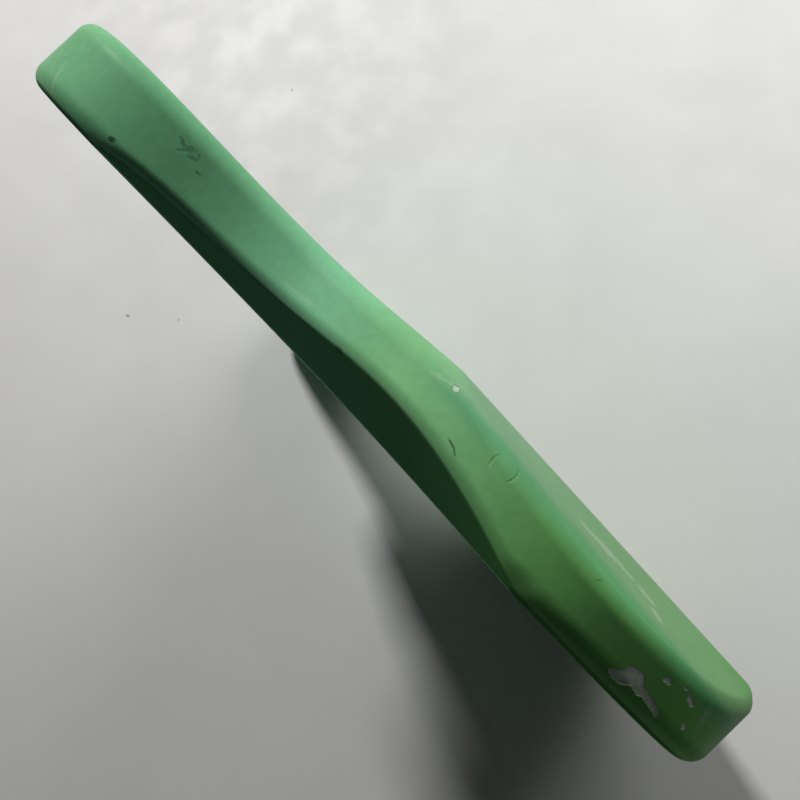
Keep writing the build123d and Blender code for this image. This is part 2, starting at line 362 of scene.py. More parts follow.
def shell_mesh():
    """The closed shell, before anything is cut into it."""
    rings = shell_rows()
    count = len(outline)
    points = list(rings)
    faces = [
        (r * count + i, r * count + (i + 1) % count,
         (r + 1) * count + (i + 1) % count, (r + 1) * count + i)
        for r in range(len(rings) - 1) for i in range(count)
    ]
    total = len(rings) * count
    for ring, hollow, side in ((0, belly, 1), (len(rings) - 1, forearm, -1)):
        grid, fill = face_fill(rings[ring][:, :2])
        points.append(np.column_stack([grid, side * (half_thickness - hollow(grid))]))
        for face in fill:
            faces.append([ring * count + v if v < count else total + v - count for v in face])
        total += len(grid)
    mesh = closed_mesh("shell", standing(np.concatenate(points)), faces, in_triangles=True)
    mesh.shade_smooth()
    return mesh


body_mesh = shell_mesh()
shell_points = np.array([v.co for v in body_mesh.vertices])
shell_normals = np.array([n.vector for n in body_mesh.vertex_normals])
shell_faces = np.array([tuple(p.vertices) for p in body_mesh.polygons])
shell_tree = BVHTree.FromPolygons(shell_points.tolist(), shell_faces.tolist())


def smooth_normal(place, face):
    """The shell's normal at a point on one of its faces, blended from the face's corners."""
    corners = [Vector(shell_points[v]) for v in shell_faces[face]]
    normals = [Vector(shell_normals[v]) for v in shell_faces[face]]
    return barycentric_transform(place, *corners, *normals).normalized()


# ---------------------------------------------------------------------------------------
# Lacquer: nitrocellulose colour coat over white primer, sprayed in one go on the glued
# and sanded body. It has yellowed towards the tail, and its gloss is nearly gone.
# ---------------------------------------------------------------------------------------
def socket(tree, target, value):
    """Links a value into a socket, or sets it there."""
    if isinstance(value, bpy.types.NodeSocket):
        tree.links.new(value, target)
    else:
        target.default_value = value


def number(tree, operation, first, second=0.0, clamp=False):
    """One sum on values."""
    step = tree.nodes.new("ShaderNodeMath")
    step.operation = operation
    step.use_clamp = clamp
    socket(tree, step.inputs[0], first)
    socket(tree, step.inputs[1], second)
    return step.outputs[0]


def spread(tree, value, low, high, out_low=0.0, out_high=1.0):
    """A value stretched smoothly from one range to another."""
    step = tree.nodes.new("ShaderNodeMapRange")
    step.interpolation_type = "SMOOTHSTEP"
    for name, bound in (("Value", value), ("From Min", low), ("From Max", high),
                        ("To Min", out_low), ("To Max", out_high)):
        socket(tree, step.inputs[name], bound)
    return step.outputs["Result"]


def tinted(tree, share_of, under, over, blend="MIX"):
    """One colour laid over another by a share."""
    step = tree.nodes.new("ShaderNodeMix")
    step.data_type = "RGBA"
    step.blend_type = blend
    socket(tree, step.inputs[0], share_of)
    socket(tree, step.inputs[6], under)
    socket(tree, step.inputs[7], over)
    return step.outputs[2]


def own_space(tree, stretch=(1, 1, 1), turn=(0, 0, 0)):
    """Object coordinates, divided by a size along each turned axis."""
    where = tree.nodes.new("ShaderNodeTexCoord").outputs["Object"]
    step = tree.nodes.new("ShaderNodeMapping")
    step.vector_type = "TEXTURE"
    tree.links.new(where, step.inputs["Vector"])
    step.inputs["Rotation"].default_value = turn
    step.inputs["Scale"].default_value = stretch
    return step.outputs["Vector"]


def cloud(tree, vector, scale, detail=3.0, roughness=0.5):
    """Noise value."""
    step = tree.nodes.new("ShaderNodeTexNoise")
    tree.links.new(vector, step.inputs["Vector"])
    step.inputs["Scale"].default_value = scale
    step.inputs["Detail"].default_value = detail
    step.inputs["Roughness"].default_value = roughness
    return step.outputs["Fac"]


def blended(tree, value, stops):
    """A run of colours along a value."""
    step = tree.nodes.new("ShaderNodeValToRGB")
    step.color_ramp.interpolation = "EASE"
    spots = step.color_ramp.elements
    while len(spots) < len(stops):
        spots.new(0.5)
    for spot, (where, colour) in zip(spots, stops):
        spot.position = where
        spot.color = (*colour, 1)
    tree.links.new(value, step.inputs["Fac"])
    return step.outputs["Color"]


def bumped(tree, height, distance, strength=1.0):
    """Normal of a surface raised by a height."""
    step = tree.nodes.new("ShaderNodeBump")
    step.inputs["Strength"].default_value = strength
    step.inputs["Distance"].default_value = distance
    tree.links.new(height, step.inputs["Height"])
    return step.outputs["Normal"]


def finish(name, **plain):
    """A new material: its node tree and its shader, with plain values on the shader."""
    material = bpy.data.materials.new(name)
    material.use_nodes = True
    shader = material.node_tree.nodes["Principled BSDF"]
    for socket_name, value in plain.items():
        shader.inputs[socket_name.replace("_", " ")].default_value = value
    return material, material.node_tree, shader


def group_of(name, inputs, outputs):
    """A new shader node group with its sockets: (name, type, value) for each input."""
    tree = bpy.data.node_groups.new(name, "ShaderNodeTree")
    for socket_name, kind, value in inputs:
        made = tree.interface.new_socket(socket_name, in_out="INPUT", socket_type="NodeSocket" + kind)
        made.default_value = value
    for socket_name, kind in outputs:
        tree.interface.new_socket(socket_name, in_out="OUTPUT", socket_type="NodeSocket" + kind)
    return tree, tree.nodes.new("NodeGroupInput").outputs, tree.nodes.new("NodeGroupOutput").inputs


def placed(tree, group, **values):
    """A node group set into a material with its own values."""
    step = tree.nodes.new("ShaderNodeGroup")
    step.node_tree = group
    for name, value in values.items():
        socket(tree, step.inputs[name.replace("_", " ")], value)
    return step.outputs


# A ragged-edged spot at a place, used for every mark on the lacquer.
mark_group, given, result = group_of(
    "mark",
    [("Place", "Vector", (0, 0, 0)), ("Turn", "Vector", (0, 0, 0)), ("Size", "Vector", (1, 1, 1)),
     ("Raggedness", "Float", 0.4), ("Softness", "Float", 0.2), ("Grain", "Float", 900.0)],
    [("Mask", "Float")])
object_place = mark_group.nodes.new("ShaderNodeTexCoord").outputs["Object"]
framed = mark_group.nodes.new("ShaderNodeMapping")
framed.vector_type = "TEXTURE"
mark_group.links.new(object_place, framed.inputs["Vector"])
for name, source in (("Location", "Place"), ("Rotation", "Turn"), ("Scale", "Size")):
    mark_group.links.new(given[source], framed.inputs[name])
reach = mark_group.nodes.new("ShaderNodeVectorMath")
reach.operation = "LENGTH"
mark_group.links.new(framed.outputs["Vector"], reach.inputs[0])
ragged = mark_group.nodes.new("ShaderNodeTexNoise")
ragged.inputs["Detail"].default_value = 3
mark_group.links.new(object_place, ragged.inputs["Vector"])
mark_group.links.new(given["Grain"], ragged.inputs["Scale"])
wobble = number(mark_group, "MULTIPLY", number(mark_group, "SUBTRACT", ragged.outputs["Fac"], 0.5), 2.0)
wobble = number(mark_group, "MULTIPLY", wobble, given["Raggedness"])
distance = number(mark_group, "ADD", reach.outputs["Value"], wobble)
inner = number(mark_group, "SUBTRACT", 1.0, given["Softness"])
outer = number(mark_group, "ADD", 1.0, given["Softness"])
mark_group.links.new(spread(mark_group, distance, inner, outer, 1.0, 0.0), result["Mask"])

# Uneven darker and lighter clouding, used on lacquer, wood and paint.
mottle_group, given, result = group_of(
    "mottling",
    [("Colour", "Color", (1, 1, 1, 1)), ("Scale", "Float", 20.0), ("Amount", "Float", 0.2)],
    [("Colour", "Color"), ("Mask", "Float")])
clouding = mottle_group.nodes.new("ShaderNodeTexNoise")
clouding.inputs["Detail"].default_value = 4
clouding_place = mottle_group.nodes.new("ShaderNodeTexCoord").outputs["Object"]
mottle_group.links.new(clouding_place, clouding.inputs["Vector"])
mottle_group.links.new(given["Scale"], clouding.inputs["Scale"])
mask = spread(mottle_group, clouding.outputs["Fac"], 0.25, 0.75)
level = number(mottle_group, "SUBTRACT", 1.0, number(mottle_group, "MULTIPLY", mask, given["Amount"]))
grey = mottle_group.nodes.new("ShaderNodeCombineColor")
for name in ("Red", "Green", "Blue"):
    mottle_group.links.new(level, grey.inputs[name])
mottle_group.links.new(
    tinted(mottle_group, 1.0, given["Colour"], grey.outputs["Color"], "MULTIPLY"), result["Colour"])
mottle_group.links.new(mask, result["Mask"])

lacquer, tree, shader = finish("aged_green_lacquer", IOR=1.45)
split = tree.nodes.new("ShaderNodeSeparateXYZ")
tree.links.new(own_space(tree), split.inputs["Vector"])
drift = number(tree, "MULTIPLY", number(tree, "SUBTRACT", cloud(tree, own_space(tree), 9.0), 0.5), 0.16)
run = number(tree, "ADD", number(tree, "DIVIDE", split.outputs["X"], body_length), 0.5)
run = number(tree, "ADD", run, drift)
colour = blended(tree, run, [
    (0.00, (0.110, 0.430, 0.060)),
    (0.16, (0.165, 0.460, 0.130)),
    (0.36, (0.215, 0.520, 0.230)),
    (0.56, (0.210, 0.540, 0.300)),
    (0.80, (0.175, 0.490, 0.245)),
    (1.00, (0.225, 0.520, 0.265)),
])
mottled = placed(tree, mottle_group, Colour=colour, Scale=26.0, Amount=0.12)
mottled = placed(tree, mottle_group, Colour=mottled["Colour"], Scale=240.0, Amount=0.08)
colour = mottled["Colour"]

# The lacquer is a little paler on the forearm cut, from a painted sheen that stands in for the
# reflection of the bright wall in front. The crease leans across the edge towards the tail, and a strip
# beside it is teal.
from_crease = number(tree, "ADD", number(
    tree, "ADD", split.outputs["Y"], number(tree, "MULTIPLY", split.outputs["X"], 0.07)), 17.8 * MM)
from_crease = number(tree, "ADD", from_crease, number(
    tree, "MULTIPLY", cloud(tree, own_space(tree), 60.0, 4.0), 3 * MM))
near_cut = number(
    tree, "MULTIPLY", spread(tree, split.outputs["X"], -85 * MM, -35 * MM, 1.0, 0.0),
    spread(tree, split.outputs["Z"], 190 * MM, 240 * MM))
# Painted sheen: a pale grey share over the forearm cut, in place of a reflection.
painted_sheen = number(tree, "MULTIPLY", spread(tree, from_crease, -2 * MM, 1.5 * MM, 0.24, 0.0), near_cut)
teal_strip = number(tree, "MULTIPLY", spread(tree, from_crease, -3 * MM, 1.5 * MM), spread(
    tree, from_crease, 1.5 * MM, 9 * MM, 0.45, 0.0))
colour = tinted(tree, number(tree, "MULTIPLY", teal_strip, near_cut), colour, (0.070, 0.330, 0.190, 1))
colour = tinted(tree, painted_sheen, colour, (0.38, 0.40, 0.44, 1))

# Painted shade: the lacquer is darker on the belly cut, which alone faces back and a little up,
# standing in for the shade that falls there. It is also made duller and loses its faint reflection.
facing = tree.nodes.new("ShaderNodeSeparateXYZ")
tree.links.new(tree.nodes.new("ShaderNodeTexCoord").outputs["Normal"], facing.inputs["Vector"])
painted_belly_shade = number(tree, "MULTIPLY", spread(tree, facing.outputs["Z"], 0.10, 0.22), spread(
    tree, facing.outputs["Y"], 0.72, 0.88, 0.0, 0.7))
painted_belly_shade = number(tree, "MULTIPLY", painted_belly_shade, spread(tree, split.outputs["Z"], 200 * MM, 240 * MM))
# painted shade on the belly cut
colour = tinted(tree, painted_belly_shade, colour, (0.02, 0.09, 0.035, 1))

# Pale scuffs, where the gloss is rubbed through to a chalky bloom: place, turn and half
# size in millimetres, and strength.
scuffs = [
    ((-136, -14, 289), (0, -0.6, 0.2), (6, 9, 2.0), 0.40),
    ((-144, -12, 284), (0, -0.62, 0.25), (10, 9, 2.6), 0.50),
    ((-152, -13, 279), (0, -0.55, 0.3), (7, 9, 2.0), 0.45),
    ((-165, -13, 273), (0, -0.6, 0.2), (6, 9, 2.2), 0.50),
    ((-172, -11, 277), (0.2, -0.5, 0.3), (3.5, 9, 2.5), 0.55),
    ((-62, -14, 314), (0, 0.3, 0.2), (7, 0.8, 9), 0.22),
    ((25, 1, 285), (0, 0, 0.1), (10, 0.9, 9), 0.20),
    ((184, 11, 317), (0, 0, -1.1), (9, 1.2, 9), 0.22),
    ((-206, 2, 264), (0, 0.9, 0.9), (5, 6, 2.5), 0.30),
]
rubbed = 0.0
for place, turn, size, strength in scuffs:
    streak = placed(
        tree, mark_group, Place=[v * MM for v in place], Turn=turn, Size=[v * MM for v in size],
        Raggedness=0.9, Softness=0.5, Grain=320.0)["Mask"]
    rubbed = number(tree, "MAXIMUM", rubbed, number(tree, "MULTIPLY", streak, strength))
colour = tinted(tree, rubbed, colour, (0.50, 0.60, 0.48, 1))

# Dark smudges and dents with grime in them.
smudges = [
    ((109.2, -9, 303), (0, 0.4, 0.6), (2.2, 1.5, 9), 0.40),
    ((113.0, -8.8, 305), (0, 0.4, -0.4), (2.2, 0.8, 9), 0.45),
    ((111.0, -6.5, 304), (0, 0.4, 0.9), (1.8, 0.7, 9), 0.35),
    ((106.0, -7.0, 302), (0, 0.4, 0.3), (1.9, 1.0, 9), 0.35),
    ((104.5, -9.5, 301), (0, 0.4, -0.8), (1.3, 0.7, 9), 0.30),
    ((100.4, -4.0, 300), (0, 0.4, 0.2), (1.3, 0.6, 9), 0.45),
    ((134.7, 13.7, 313.8), (0, 0, 0.3), (1.8, 1.2, 4), 0.8),
    ((-12, 6, 293), (0, 0, 0.2), (2.6, 1.2, 3), 0.55),
    ((-83.5, 1.0, 322), (0, 0, -0.27), (2.8, 0.45, 4), 0.75),
    ((-86.5, 2.4, 322), (0, 0, -0.5), (1.7, 0.4, 4), 0.6),
    ((60, 12, 290), (0, 0, 0.3), (1.4, 1.0, 4), 0.3),
    ((-150, -2, 310), (0, 0, 0.9), (2.0, 0.6, 5), 0.35),
]
grimed = 0.0
for place, turn, size, strength in smudges:
    spot = placed(
        tree, mark_group, Place=[v * MM for v in place], Turn=turn, Size=[v * MM for v in size],
        Raggedness=0.7, Softness=0.4, Grain=700.0)["Mask"]
    grimed = number(tree, "MAXIMUM", grimed, number(tree, "MULTIPLY", spot, strength))
colour = tinted(tree, grimed, colour, (0.035, 0.055, 0.030, 1))
socket(tree, shader.inputs["Base Color"], colour)

hairlines = cloud(tree, own_space(tree, (0.004, 0.06, 0.004), turn=(0.3, 0.2, 0.5)), 9.0, 2.0)
hairlines = spread(tree, hairlines, 0.62, 0.75)
gloss = spread(tree, cloud(tree, own_space(tree), 34.0, 5.0, 0.6), 0.3, 0.75, 0.42, 0.56)
gloss = number(tree, "ADD", gloss, number(tree, "MULTIPLY", hairlines, 0.08))
gloss = number(tree, "ADD", gloss, number(tree, "MULTIPLY", rubbed, 0.35))
gloss = number(tree, "ADD", gloss, number(tree, "MULTIPLY", painted_belly_shade, 0.4), clamp=True)
socket(tree, shader.inputs["Specular IOR Level"], spread(tree, painted_belly_shade, 0.0, 0.7, 0.05, 0.0))
socket(tree, shader.inputs["Roughness"], gloss)
ripple = cloud(tree, own_space(tree), 60.0, 2.0)
peel = cloud(tree, own_space(tree), 800.0, 2.0)
surface = number(
    tree, "ADD", number(tree, "MULTIPLY", ripple, 0.5), number(tree, "MULTIPLY", peel, 0.10))
surface = number(tree, "SUBTRACT", surface, number(tree, "MULTIPLY", grimed, 0.5))
surface = number(tree, "SUBTRACT", surface, number(tree, "MULTIPLY", hairlines, 0.03))
socket(tree, shader.inputs["Normal"], bumped(tree, surface, 0.25 * MM))

# ---------------------------------------------------------------------------------------
# What the cuts lay bare: alder in the routs, dusted with the colour coat near the front,
# black-grey conductive paint in the control cavity, and white primer in the chips.
# ---------------------------------------------------------------------------------------
# Straight wood grain: rings bent by noise along the body, with fine open pores.
grain_group, given, result = group_of(
    "wood_grain",
    [("Pale", "Color", (1, 1, 1, 1)), ("Dark", "Color", (0, 0, 0, 1)), ("Spacing", "Float", 0.004)],
    [("Colour", "Color"), ("Pores", "Float")])
along_grain = own_space(grain_group, (0.25, 0.02, 0.02))
bend = cloud(grain_group, along_grain, 1.2, 3.0)
across_grain = grain_group.nodes.new("ShaderNodeSeparateXYZ")
grain_group.links.new(own_space(grain_group, turn=(0.5, 0, 0)), across_grain.inputs["Vector"])
rings = number(
    grain_group, "ADD", across_grain.outputs["Z"], number(grain_group, "MULTIPLY", bend, 0.03))
rings = number(grain_group, "SINE", number(grain_group, "DIVIDE", rings, given["Spacing"]))
fibres = cloud(grain_group, own_space(grain_group, (0.02, 0.0006, 0.0006)), 1.0, 3.0)
pale_share = number(grain_group, "ADD", number(grain_group, "MULTIPLY", rings, 0.22), fibres)
pale_share = spread(grain_group, pale_share, 0.15, 0.85)
grain_group.links.new(tinted(grain_group, pale_share, given["Dark"], given["Pale"]), result["Colour"])
grain_group.links.new(spread(grain_group, fibres, 0.34, 0.46), result["Pores"])

rout_wood, tree, shader = finish("oversprayed_alder")
wood = placed(
    tree, grain_group, Pale=(0.56, 0.36, 0.19, 1), Dark=(0.34, 0.185, 0.085, 1), Spacing=0.0035)
depth_place = tree.nodes.new("ShaderNodeSeparateXYZ")
tree.links.new(own_space(tree), depth_place.inputs["Vector"])
dusting = number(tree, "ADD", depth_place.outputs["Y"], number(
    tree, "MULTIPLY", cloud(tree, own_space(tree), 70.0, 4.0), 14 * MM))
dusting = spread(tree, dusting, -15 * MM, -6 * MM, 0.85, 0.12)
colour = tinted(tree, dusting, wood["Colour"], (0.27, 0.47, 0.30, 1))
colour = placed(tree, mottle_group, Colour=colour, Scale=110.0, Amount=0.3)["Colour"]
socket(tree, shader.inputs["Base Color"], colour)
socket(tree, shader.inputs["Roughness"], spread(tree, dusting, 0.1, 0.9, 0.72, 0.5))
socket(tree, shader.inputs["Normal"], bumped(tree, wood["Pores"], 0.12 * MM, 0.8))

conductive, tree, shader = finish("conductive_paint")
brushed = cloud(tree, own_space(tree, (0.03, 0.002, 0.002), turn=(0, 0.6, 0)), 1.0, 4.0)
colour = blended(tree, brushed, [
    (0.3, (0.020, 0.021, 0.022)), (0.6, (0.050, 0.051, 0.053)), (0.9, (0.09, 0.09, 0.09))])
mottled = placed(tree, mottle_group, Colour=colour, Scale=60.0, Amount=0.35)
socket(tree, shader.inputs["Base Color"], mottled["Colour"])
socket(tree, shader.inputs["Roughness"], spread(tree, brushed, 0.3, 0.8, 0.75, 0.5))
socket(tree, shader.inputs["Normal"], bumped(tree, brushed, 0.15 * MM, 0.7))


def cloudy_bump(tree, shader, scale, height, strength):
    """Raises a finish's surface a little, by noise."""
    rise = cloud(tree, own_space(tree), scale, 3.0)
    socket(tree, shader.inputs["Normal"], bumped(tree, rise, height, strength))


primer, tree, shader = finish("bared_primer")
colour = placed(tree, mottle_group, Colour=(0.62, 0.78, 0.58, 1), Scale=420.0, Amount=0.30)
colour = placed(tree, mottle_group, Colour=colour["Colour"], Scale=90.0, Amount=0.2)
socket(tree, shader.inputs["Base Color"], colour["Colour"])
socket(tree, shader.inputs["Roughness"], spread(tree, colour["Mask"], 0.0, 1.0, 0.55, 0.75))
cloudy_bump(tree, shader, 1500.0, 0.06 * MM, 0.8)

for material in (lacquer, rout_wood, conductive, primer):
    body_mesh.materials.append(material)

# ---------------------------------------------------------------------------------------
# Routs and holes: milled and drilled after the outline, with the lip of each softened by
# sanding and lacquer. Places are along and across the body, depths from the named face.
# ---------------------------------------------------------------------------------------
lip_radius = 0.6 * MM
clear_of_face = 3 * MM
pocket_x = heel_x - 76.2 * MM
bridge_x = pocket_x - 182.8 * MM
slot_x = bridge_x - 10 * MM


def arc(centre, radius, start, end, steps):
    """Points on an arc between two angles in degrees."""
    angles = np.radians(np.linspace(start, end, steps))
    return np.column_stack([centre[0] + radius * np.cos(angles), centre[1] + radius * np.sin(angles)])


def round_loop(centre, radius, steps=32):
    """A circle as a closed loop."""
    return arc(centre, radius, 0, 360 * (1 - 1 / steps), steps)


def hull(points):
    """The convex loop round a set of points, counterclockwise."""
    order = convex_hull_2d([Vector(p) for p in points])
    loop = np.asarray(points)[order]
    turn = loop_area(loop)
    return loop if turn > 0 else loop[::-1]


def loop_area(loop):
    """Area inside a closed loop, above zero when it runs counterclockwise."""
    ends = np.roll(loop, -1, axis=0)
    return np.sum(loop[:, 0] * ends[:, 1] - ends[:, 0] * loop[:, 1]) / 2


def round_box(centre, length, width, corner, turn=0):
    """A rectangle with round corners, turned by an angle in degrees."""
    along, across = length / 2 - corner, width / 2 - corner
    corners = [(along, across), (-along, across), (-along, -across), (along, -across)]
    loop = np.concatenate([
        arc(spot, corner, 90 * k, 90 * (k + 1), 8) for k, spot in enumerate(corners)
    ])
    angle = math.radians(turn)
    spin = np.array([[math.cos(angle), math.sin(angle)], [-math.sin(angle), math.cos(angle)]])
    return loop @ spin + np.array(centre)


def slot_loop(start, end, width):
    """A slot with round ends between two centres."""
    return hull(np.concatenate([round_loop(start, width / 2), round_loop(end, width / 2)]))


def grown(loop, margin):
    """A convex loop moved outwards by a margin."""
    ways = np.roll(loop, -1, axis=0) - loop
    sides = np.column_stack([ways[:, 1], -ways[:, 0]])
    sides /= np.linalg.norm(sides, axis=1)[:, None]
    corners = sides + np.roll(sides, 1, axis=0)
    corners /= (1 + np.sum(sides * np.roll(sides, 1, axis=0), axis=1))[:, None]
    return loop + corners * margin


def milled(loop, face, depth, material):
    """A cutter that sinks a loop to a depth, with a soft lip. face is -1 front or 1 back."""
    rows = [(clear_of_face, lip_radius)]
    for turn in np.linspace(0, math.pi / 2, 4):
        rows.append((-lip_radius * (1 - math.cos(turn)), lip_radius * (1 - math.sin(turn))))
    rows.append((-depth, 0))
    points, faces = [], []
    count = len(loop)
    for height, margin in rows:
        ring = grown(loop, margin)
        y = np.full(count, face * (half_thickness + height))
        points.append(np.column_stack([ring, y]))
    for r in range(len(rows) - 1):
        for i in range(count):
            j = (i + 1) % count
            faces.append((r * count + i, r * count + j, (r + 1) * count + j, (r + 1) * count + i))
    faces.append(list(range(count)))
    faces.append([(len(rows) - 1) * count + i for i in range(count)])
    return cutter_object(standing(np.concatenate(points)), faces, material)


def cutter_object(points, faces, material):
    """An object for a cut, with its faces outwards."""
    mesh = closed_mesh("cutter", points, faces, merge=1e-7)
    mesh.materials.append(material)
    return new_object("cutter", mesh)


def drilled(start, end, radius, material):
    """A cutter for a round hole between two points."""
    start, end = np.array(start), np.array(end)
    way = (end - start) / np.linalg.norm(end - start)
    side = np.cross(way, (0, 1, 0) if abs(way[1]) < 0.9 else (1, 0, 0))
    side /= np.linalg.norm(side)
    other = np.cross(way, side)
    angles = np.linspace(0, 2 * math.pi, 24, endpoint=False)[:, None]
    ring = radius * (np.cos(angles) * side + np.sin(angles) * other)
    points = np.concatenate([start + ring, end + ring])
    faces = [(i, (i + 1) % 24, 24 + (i + 1) % 24, 24 + i) for i in range(24)]
    faces += [list(range(24)), list(range(24, 48))]
    return cutter_object(standing(points), faces, material)


FRONT, BACK = -1, 1
cutters = []

pocket_shape = round_box(
    ((pocket_x + heel_x) / 2 + 6 * MM, 0), heel_x - pocket_x + 12 * MM, 56.2 * MM, 6 * MM)
cutters.append(milled(pocket_shape, FRONT, 15.9 * MM, rout_wood))
slot_shape = round_box((slot_x - 13.5 * MM, 0), 27 * MM, 76 * MM, 5 * MM)
cutters.append(milled(slot_shape, FRONT, 2 * half_thickness + clear_of_face, rout_wood))
swing_shape = round_box((slot_x - 24.5 * MM, 0), 49 * MM, 76 * MM, 5 * MM)
cutters.append(milled(swing_shape, BACK, 30 * MM, rout_wood))
spring_shape = round_box((slot_x + 46.5 * MM, 0), 113 * MM, 57 * MM, 5 * MM)
cutters.append(milled(spring_shape, BACK, 16 * MM, rout_wood))
for distance, turn in ((162.0, 0), (98.4, 0), (46.0, -10)):
    shape = round_box((bridge_x + distance * MM, 0), 23 * MM, 92 * MM, 5 * MM, turn)
    cutters.append(milled(shape, FRONT, 19 * MM, rout_wood))
channel_y = -33 * MM
channel_ends = [
    (bridge_x + 162 * MM, channel_y), (bridge_x + 46 * MM, channel_y), (168 * MM, -74 * MM)
]
for start, end in zip(channel_ends, channel_ends[1:]):
    cutters.append(milled(slot_loop(start, end, 13 * MM), FRONT, 16 * MM, rout_wood))

control_spots = [(198, -84), (165, -79), (100, -108), (126, -122)]
control_shape = hull(np.concatenate([round_loop(np.array(p) * MM, 19 * MM, 64) for p in control_spots]))
cutters.append(milled(control_shape, FRONT, 36 * MM, conductive))
jack_spot = np.array((60, -96)) * MM
jack_reach = 13 * MM * math.sqrt(0.5)
jack_shape = slot_loop(jack_spot - jack_reach, jack_spot + jack_reach, 24 * MM)
cutters.append(milled(jack_shape, FRONT, 30 * MM, rout_wood))

# Drilled holes: start, end and radius of each.
above_front = -half_thickness - clear_of_face
jack_wire_height, jack_wire_radius = 20 * MM - half_thickness, 4.75 * MM
ground_wire_height, ground_wire_radius = half_thickness - 11 * MM, 2 * MM
neck_screw_x, neck_screw_y = 25.4 * MM, 19.05 * MM
neck_screw_reach, neck_screw_radius = 24 * MM, 2.4 * MM
post_y, post_hole_depth, post_hole_radius = 28 * MM, 19 * MM, 5.55 * MM
claw_start, claw_y, claw_height = slot_x + 102 * MM, 12.5 * MM, half_thickness - 8 * MM
claw_screw_depth, strap_screw_depth, screw_pilot_radius = 31 * MM, 25 * MM, 1.6 * MM
dowel_spots = {"tail": (48 * MM, 0), "waist": (266 * MM, 24 * MM)}
dowel_hole_depth, dowel_hole_radius = 12.7 * MM, 4.75 * MM
past_end = 1 * MM
holes = [
    ((*jack_spot, jack_wire_height), (100 * MM, -108 * MM, jack_wire_height), jack_wire_radius),
    ((165 * MM, -79 * MM, ground_wire_height), (165 * MM, 0, ground_wire_height),
     ground_wire_radius),
]
for x in (-neck_screw_x, neck_screw_x):
    for y in (-neck_screw_y, neck_screw_y):
        middle = (pocket_x + heel_x) / 2 + x
        holes.append((
            (middle, y, -neck_screw_reach), (middle, y, neck_screw_reach), neck_screw_radius))
for y in (-post_y, post_y):
    holes.append((
        (bridge_x, y, above_front), (bridge_x, y, post_hole_depth - half_thickness),
        post_hole_radius))
for y in (-claw_y, claw_y):
    holes.append((
        (claw_start, y, claw_height), (claw_start + claw_screw_depth, y, claw_height),
        screw_pilot_radius))
horn_y = bass_horn_tip[1]
holes.append(((-past_end, 0, 0), (strap_screw_depth, 0, 0), screw_pilot_radius))
holes.append((
    (body_length + past_end, horn_y, 0), (body_length - strap_screw_depth, horn_y, 0),
    screw_pilot_radius))
for x, y in dowel_spots.values():
    holes.append((
        (x, y, above_front), (x, y, dowel_hole_depth - half_thickness), dowel_hole_radius))
for start, end, radius in holes:
    cutters.append(drilled(start, end, radius, rout_wood))


def repeating_tree(name, settings):
    """A Geometry Nodes tree with inputs (name, type, value), and each input's identifier."""
    tree = bpy.data.node_groups.new(name, "GeometryNodeTree")
    sockets = {}
    all_settings = [("Geometry", "Geometry", None), *settings, ("Finish", "Material", None)]
    for setting, kind, value in all_settings:
        made = tree.interface.new_socket(setting, in_out="INPUT", socket_type="NodeSocket" + kind)
        if value is not None:
            made.default_value = value
        sockets[setting] = made.identifier
    tree.interface.new_socket("Geometry", in_out="OUTPUT", socket_type="NodeSocketGeometry")
    return tree, sockets, tree.nodes.new("NodeGroupInput").outputs


def end_tree(tree, copies, finish_given):
    """Makes the copies real, gives them their material and sends them out."""
    realize = tree.nodes.new("GeometryNodeRealizeInstances")
    tree.links.new(copies, realize.inputs["Geometry"])
    set_finish = tree.nodes.new("GeometryNodeSetMaterial")
    tree.links.new(realize.outputs["Geometry"], set_finish.inputs["Geometry"])
    tree.links.new(finish_given, set_finish.inputs["Material"])
    out = tree.nodes.new("NodeGroupOutput")
    tree.links.new(set_finish.outputs["Geometry"], out.inputs["Geometry"])


def grown_by(tree_and_sockets, piece, **settings):
    """The mesh that a tree makes from a piece. The piece itself is taken away."""
    tree, sockets = tree_and_sockets
    modifier = piece.modifiers.new("repeats", "NODES")
    modifier.node_group = tree
    for name, value in settings.items():
        modifier[sockets[name.replace("_", " ")]] = value
    evaluated = piece.evaluated_get(bpy.context.evaluated_depsgraph_get())
    mesh = bpy.data.meshes.new_from_object(evaluated)
    bpy.data.objects.remove(piece)
    return mesh


def pilot_tree():
    """Geometry Nodes that drill one like hole at each point of a mesh."""
    tree, sockets, given = repeating_tree("pilot_holes", [
        ("Diameter", "Float", 0.0024), ("Depth", "Float", 0.012), ("Lip", "Float", 0.003)])
    drill = tree.nodes.new("GeometryNodeMeshCylinder")
    drill.inputs["Vertices"].default_value = 20
    tree.links.new(number(tree, "MULTIPLY", given["Diameter"], 0.5), drill.inputs["Radius"])
    tree.links.new(number(tree, "ADD", given["Depth"], given["Lip"]), drill.inputs["Depth"])
    on_points = tree.nodes.new("GeometryNodeInstanceOnPoints")
    tree.links.new(given["Geometry"], on_points.inputs["Points"])
    tree.links.new(drill.outputs["Mesh"], on_points.inputs["Instance"])
    on_points.inputs["Rotation"].default_value = (math.pi / 2, 0, 0)
    end_tree(tree, on_points.outputs["Instances"], given["Finish"])
    return tree, sockets


